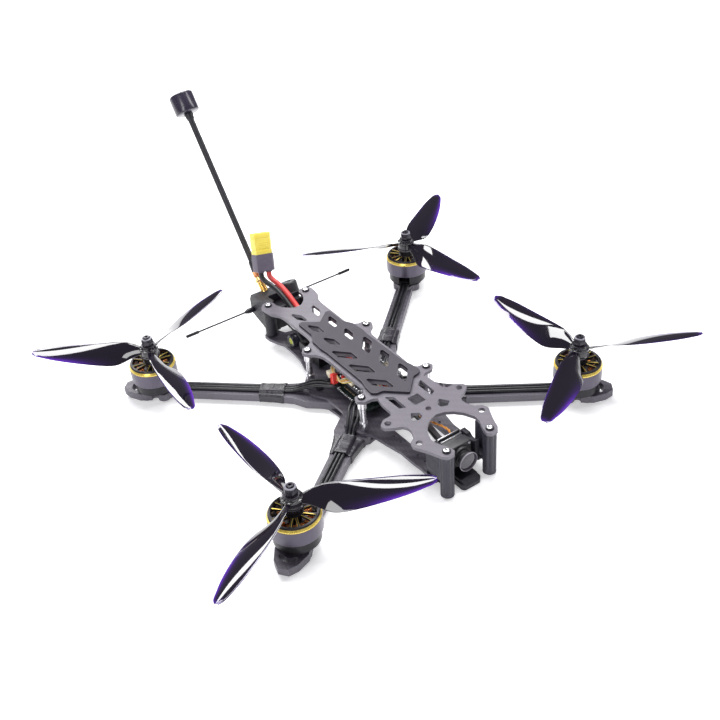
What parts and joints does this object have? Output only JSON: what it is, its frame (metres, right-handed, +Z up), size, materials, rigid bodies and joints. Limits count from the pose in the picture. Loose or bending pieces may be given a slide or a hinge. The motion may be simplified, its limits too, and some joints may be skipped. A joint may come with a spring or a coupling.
{
  "type": "fpv racing drone",
  "caption": "Seven-inch racing quadcopter: slotted carbon frame, bare motors with swept propellers, tilting nose camera and a video antenna leaning back on a long rod.",
  "frame": {"origin": "on the frame's centre plane, midway between the front and rear motor axes, at the underside of the lower clamp plate", "axes": "+Z up, -Y towards the camera and the direction of flight, +X to the drone's left"},
  "size_m": [0.396, 0.3904, 0.1779],
  "materials": {
    "carbon_plate": "woven carbon, satin grey",
    "carbon_arm": "woven carbon, machined edges",
    "pad_rubber": "matt grippy rubber",
    "spacer_metal": "satin anodised",
    "black_metal": "black oxide",
    "moulded_grey": "printed flexible plastic",
    "moulded_black": "printed flexible plastic",
    "camera_black": "fine moulded black",
    "camera_silver": "bright",
    "cable_orange": "thin insulated wires",
    "board_green": "solder mask",
    "parts_mixed": "component packages",
    "board_black": "solder mask",
    "plug_cream": "connector plastic",
    "stack_steel": "plated",
    "grommet_rubber": "soft",
    "coax_black": "sheath",
    "capacitor_sleeve": "shrink sleeve",
    "receiver_blue": "solder mask",
    "buzzer_black": "moulded",
    "brass": "plated",
    "antenna_black": "moulded and heat shrink",
    "lead_red": "silicone insulation",
    "lead_black": "silicone insulation",
    "plug_yellow": "nylon",
    "plug_grey": "cover",
    "tape_black": "cloth tape",
    "wire_black": "silicone insulation",
    "motor_black": "anodised",
    "copper": "enamelled windings",
    "bell_grey": "grey anodised with gold chamfers",
    "prop_violet": "dark translucent violet",
    "nut_black": "anodised"
  },
  "bodies": {
    "frame": {"clamp_plate": "carbon_plate", "main_plate": "carbon_plate", "top_plate": "carbon_plate", "arm_front_right": "carbon_arm", "arm_rear_right": "carbon_arm", "arm_front_left": "carbon_arm", "arm_rear_left": "carbon_arm", "battery_pad": "pad_rubber", "standoffs": "spacer_metal", "rear_posts": "black_metal", "corner_posts": "moulded_grey", "top_screws": "black_metal", "lower_screws": "black_metal", "chin_guard": "moulded_black", "camera_cheeks": "moulded_black", "camera_cable": "cable_orange", "esc_board": "board_green", "esc_parts": "parts_mixed", "fc_board": "board_black", "fc_chips": "parts_mixed", "fc_plugs": "plug_cream", "stack_screws": "stack_steel", "stack_spacers": "grommet_rubber", "vtx_case": "black_metal", "vtx_coax": "coax_black", "capacitor": "capacitor_sleeve", "receiver": "receiver_blue", "rear_mount": "moulded_black", "buzzer": "buzzer_black", "sma_connector": "brass", "antenna_rod": "antenna_black", "antenna_cap": "antenna_black", "receiver_antenna": "antenna_black", "lead_red": "lead_red", "lead_black": "lead_black", "plug_housing": "plug_yellow", "plug_cover": "plug_grey", "plug_contacts": "brass", "wire_wraps": "tape_black", "motor_wires": "wire_black", "motor_bases": "motor_black", "windings": "copper", "motor_screws": "black_metal"},
    "camera": {"camera_case": "camera_black", "camera_lens": "camera_black", "camera_board": "camera_silver", "camera_screws": "camera_silver"},
    "front_right_rotor": {"bell_front_right": "bell_grey", "prop_front_right": "prop_violet", "nut_front_right": "nut_black"},
    "rear_right_rotor": {"bell_rear_right": "bell_grey", "prop_rear_right": "prop_violet", "nut_rear_right": "nut_black"},
    "front_left_rotor": {"bell_front_left": "bell_grey", "prop_front_left": "prop_violet", "nut_front_left": "nut_black"},
    "rear_left_rotor": {"bell_rear_left": "bell_grey", "prop_rear_left": "prop_violet", "nut_rear_left": "nut_black"},
    "boot_key": {"boot_button": "plug_cream"}
  },
  "joints": [
    {"name": "front_right_spin", "type": "hinge", "parent": "frame", "child": "front_right_rotor", "pos_m": [-0.1204, -0.1023, 0.03], "axis": [0, 0, 1], "continuous": true},
    {"name": "rear_right_spin", "type": "hinge", "parent": "frame", "child": "rear_right_rotor", "pos_m": [-0.1204, 0.1023, 0.03], "axis": [0, 0, 1], "continuous": true},
    {"name": "front_left_spin", "type": "hinge", "parent": "frame", "child": "front_left_rotor", "pos_m": [0.1204, -0.1023, 0.03], "axis": [0, 0, 1], "continuous": true},
    {"name": "rear_left_spin", "type": "hinge", "parent": "frame", "child": "rear_left_rotor", "pos_m": [0.1204, 0.1023, 0.03], "axis": [0, 0, 1], "continuous": true},
    {"name": "camera_tilt", "type": "hinge", "parent": "frame", "child": "camera", "pos_m": [0, -0.11, 0.0195], "axis": [-1, 0, 0], "range_deg": [-5, 40]},
    {"name": "boot_press", "type": "slide", "parent": "frame", "child": "boot_key", "axis": [0, 0, -1], "range_m": [0, 0.0003], "stiffness_N_per_m": 300}
  ]
}
